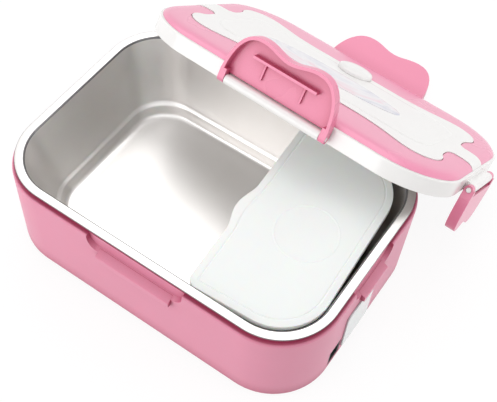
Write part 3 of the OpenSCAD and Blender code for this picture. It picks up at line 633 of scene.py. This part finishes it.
def dome(name, rise_to):
    """Rounded upper part of the lid: steep at the edge, nearly level 20 mm in."""
    piece = rounded_block(name, half_l - dome_in, half_d - dome_in, lid_r - dome_in, skirt_h - 0.8,
                          skirt_h + 0.3, 20)
    pick(piece, 'FACE', lambda f: f.normal.z > 0.9)
    rise = rise_to - skirt_h - 0.3
    reached, height = 0.0, 0.0
    for reach in [0.25, 0.6, 1.0, 1.5, 2.1, 2.9, 3.9, 5.2, 7.0, 9.5, 13.0, 18.0, 24.0]:
        after = rise * (1.0 - math.exp(-reach / 3.0))
        step_face(reach - reached, after - height)
        reached, height = reach, after
    bpy.ops.object.mode_set(mode='OBJECT')
    return piece


def outline_block(name, knots, low, high):
    """A smooth closed line through the knots, filled and given a height. A knot marked True is a corner."""
    bpy.ops.object.select_all(action='DESELECT')
    bpy.ops.curve.primitive_bezier_curve_add(location=(0, 0, 0))
    drawn = bpy.context.object
    drawn.name = name
    drawn.data.dimensions = '3D'
    drawn.data.resolution_u = 8
    line = drawn.data.splines[0]
    line.bezier_points.add(len(knots) - 2)
    for point, (x, y, sharp) in zip(line.bezier_points, knots):
        point.co = (x * MM, y * MM, low * MM)
        point.handle_left_type = point.handle_right_type = 'VECTOR' if sharp else 'AUTO'
    line.use_cyclic_u = True
    bpy.ops.object.convert(target='MESH')
    piece = bpy.context.object
    bpy.ops.object.mode_set(mode='EDIT')
    bpy.ops.mesh.select_all(action='SELECT')
    bpy.ops.mesh.remove_doubles(threshold=0.00001)
    bpy.ops.mesh.edge_face_add()
    bpy.ops.mesh.extrude_region_move(TRANSFORM_OT_translate={"value": (0, 0, (high - low) * MM)})
    bpy.ops.mesh.select_all(action='SELECT')
    bpy.ops.mesh.normals_make_consistent(inside=False)
    bpy.ops.object.mode_set(mode='OBJECT')
    return piece


saddle = 11.2
quarter = [(0, -45.0, False), (22, -45.0, False), (42, -45.2, False), (58, -47.6, False), (70, -51.4, False),
           (80, -53.8, False), (89, -53.0, False), (96, -48.5, False), (100, -41.5, False),
           (100.2, -34.5, False), (97.8, -28.0, False), (97.2, -20.0, False), (98.2, -14.0, False),
           (101.5, -saddle, True), (half_l + 6, -saddle, True)]


def mirrored_line(knots):
    right_back = [(x, -y, s) for x, y, s in reversed(knots)]
    left_back = [(-x, -y, s) for x, y, s in knots[1:]]
    left_front = [(-x, y, s) for x, y, s in reversed(knots[1:])]
    return knots + right_back + left_back + left_front


lid = rounded_block("lid_body", half_l, half_d, lid_r, 0.4, skirt_h - 0.8, 20)
pick(lid, 'FACE', lambda f: f.normal.z > 0.9)
for inward, up in [(0.15, 0.4), (0.3, 0.25), (0.5, 0.15), (0.65, 0), (0, 0.2), (8, 0)]:
    step_face(inward, up)
pick(lid, 'FACE', lambda f: f.normal.z < -0.9)
for inward, down in [(0.1, 0.3), (0.2, 0.1), (1.5, 0), (0, -8.6)]:
    step_face(inward, down)
bpy.ops.object.mode_set(mode='OBJECT')
middle = dome("middle", plateau_z - 0.35)
combine(middle, outline_block("middle_line", mirrored_line(quarter), skirt_h - 2, plateau_z + 2), 'INTERSECT')
soften(middle, 0.3, 3, 50)
raised_x, raised_y, raised_r = 88, 36, 17
raised = rounded_block("raised", raised_x, raised_y, raised_r, plateau_z - 1.5, plateau_z - 0.3, 14)
pick(raised, 'FACE', lambda f: f.normal.z > 0.9)
for inward, up in [(0.7, 0.1), (1.0, 0.14), (0.7, 0.04)]:
    step_face(inward, up)
bpy.ops.object.mode_set(mode='OBJECT')
combine(middle, raised, 'UNION')
combine(lid, middle, 'UNION')


def hinge_frame(side):
    out = (half_d if side % 2 == 0 else half_l) + hinge_out
    return (Matrix.Rotation(math.radians(90 * side), 4, 'Z')
            @ Matrix.Translation((0, -out * MM, hinge_z * MM)))


def bar(radius, half_length, steps):
    """A round bar along X."""
    bpy.ops.object.select_all(action='DESELECT')
    bpy.ops.mesh.primitive_cylinder_add(vertices=steps, radius=radius * MM, depth=2 * half_length * MM,
                                        rotation=(0, math.pi / 2, 0))
    bpy.ops.object.transform_apply(location=True, rotation=True, scale=True)
    return bpy.context.object


rod_r, pin_r, pin_past_rod = 3.3, 1.7, 4.7
for side, half_rod in enumerate([36.6, 22.1, 36.6, 22.1]):
    rod = bar(rod_r, half_rod, 40)
    soften(rod, 0.3)
    web = block("web", (-half_rod + 1, 0, -rod_r + 0.05), (half_rod - 1, hinge_out + 0.8, rod_r - 0.05))
    combine(rod, web, 'UNION')
    put(rod, hinge_frame(side))
    combine(lid, rod, 'UNION')
    pin = bar(pin_r, half_rod + pin_past_rod, 32)
    put(pin, hinge_frame(side))
    combine(lid, pin, 'UNION')
even_out(lid, 38)
put(lid, lid_place)
lid_white = moulded_plastic("glossy_white", (0.945, 0.94, 0.93), (0.935, 0.925, 0.915), 0.22, 0.15, 0.3)
fit_out(lid, lid_white, "lid", "white_plastic", "lid_cover")
dress("lid_inner_panel", liner_white)
dress("lid_gasket", soft_rubber)

# ---------- lid trims ----------
# Two glossy pink C-shaped trims, front and back, snapped on round the raised middle.
trims = dome("trim_front_band", plateau_z - 0.9)
trim_line = outline_block("trim_line", mirrored_line(quarter), skirt_h - 3, plateau_z + 3)
pick(trim_line, 'FACE', lambda f: True)
bpy.ops.transform.shrink_fatten(value=0.45 * MM, use_even_offset=True)
bpy.ops.object.mode_set(mode='OBJECT')
combine(trims, trim_line, 'DIFFERENCE')
below = block("below", (-130, -100, 0), (130, 100, skirt_h + 0.2))
combine(trims, below, 'DIFFERENCE')
soften(trims, 0.35, 2, 50)
put(trims, lid_place)
take(trims)
bpy.ops.object.mode_set(mode='EDIT')
bpy.ops.mesh.select_all(action='SELECT')
bpy.ops.mesh.separate(type='LOOSE')
bpy.ops.object.mode_set(mode='OBJECT')
# Painted shade: the third colour, a deep magenta, darkens the trims in their corners and where they meet the
# lid.
trim_pink = moulded_plastic("glossy_pink", (0.93, 0.33, 0.50), (0.91, 0.315, 0.48), 0.26, 0.12, 0.25,
                            (0.62, 0.09, 0.20))
lid_y_axis = lid_z_axis.cross(lid_x_axis)
for band in list(bpy.context.selected_objects):
    centre = sum((point.co for point in band.data.vertices), Vector()) / len(band.data.vertices)
    at_front = (centre - lid_middle).dot(lid_y_axis) < 0
    band.name = "trim_front_band" if at_front else "trim_back_band"
    fit_out(band, trim_pink, "lid", "bright_pink_plastic", "trim_front" if at_front else "trim_rear")

# ---------- lid label and vent plug ----------
# The oval label is a plain printed film. The vent plug is a soft white button over the steam hole,
# with a stem through the lid.
def turned(name, radius, low, high, steps=48):
    bpy.ops.object.select_all(action='DESELECT')
    bpy.ops.mesh.primitive_cylinder_add(vertices=steps, radius=radius * MM, depth=(high - low) * MM,
                                        location=(0, 0, (low + high) / 2 * MM))
    piece = bpy.context.object
    piece.name = name
    bpy.ops.object.transform_apply(location=True, rotation=True, scale=True)
    return piece


label_half_l, label_squeeze, label_x, label_y = 57, 0.29, -3, -1
label = turned("label_film_oval", label_half_l, plateau_z - 0.1, plateau_z + 0.15, 96)
pick(label, 'FACE', lambda f: f.normal.z > 0.9)
step_face(0.3, 0.12)
step_face(1.6, 0.02)
bpy.ops.object.mode_set(mode='OBJECT')
put(label, lid_place @ Matrix.Translation((label_x * MM, label_y * MM, 0))
    @ Matrix.Diagonal((1, label_squeeze, 1, 1)))
bpy.ops.object.shade_smooth_by_angle(angle=math.radians(35))
label_film = silver_film("label_film", (0.62, 0.63, 0.74), (0.88, 0.62, 0.70), (0.86, 0.85, 0.88))
fit_out(label, label_film, "lid", "label_film", "lid_label")

vent_r, vent_y, stem_r, stem_h = 13.5, 38, 5.0, 11.0
vent = turned("vent_button", vent_r, plateau_z + 0.1, plateau_z + 1.6)
pick(vent, 'FACE', lambda f: f.normal.z > 0.9)
for inward, up in [(0.2, 0.6), (0.5, 0.6), (0.9, 0.5), (1.5, 0.45), (2.4, 0.35), (3.5, 0.2)]:
    step_face(inward, up)
pick(vent, 'FACE', lambda f: f.normal.z < -0.9)
step_face(vent_r - stem_r, 0)
step_face(0, stem_h)
soften(vent, 0.3, 2, 50)
put(vent, lid_place @ Matrix.Translation((0, vent_y * MM, 0)))
fit_out(vent, lid_white, "vent_plug", "white_plastic", "vent_plug")

# ---------- latches ----------
# Four glossy pink snap latches: a plate with a turned-in rim, a hook bar across the inside with two
# ribs, and a knuckle at each end that clips on the lid's hinge pins.
# Painted shade: the latches are the same glossy pink as the trims, coloured a little darker and deeper to
# stand in for the shade in their trays, and the third colour darkens their corners further.
shaded_latch_pink = moulded_plastic("shaded_latch_pink", (0.91, 0.28, 0.44), (0.89, 0.265, 0.42), 0.28, 0.12, 0.2,
                             (0.58, 0.09, 0.19), (0.02, 0.35, 1.0))
for node in ["front_latch", "right_latch", "rear_latch", "left_latch"]:
    take(frame["nodes"][node])
    bpy.ops.object.duplicate()
    latch = bpy.context.object
    latch.name = node + "_moulding"
    bpy.ops.object.mode_set(mode='EDIT')
    bpy.ops.mesh.select_all(action='SELECT')
    bpy.ops.mesh.remove_doubles(threshold=0.000005)
    bpy.ops.mesh.dissolve_limited(angle_limit=math.radians(1.0))
    bpy.ops.object.mode_set(mode='OBJECT')
    soften(latch, 0.45, 3, 35)
    fit_out(latch, shaded_latch_pink, node, "bright_pink_plastic", node)
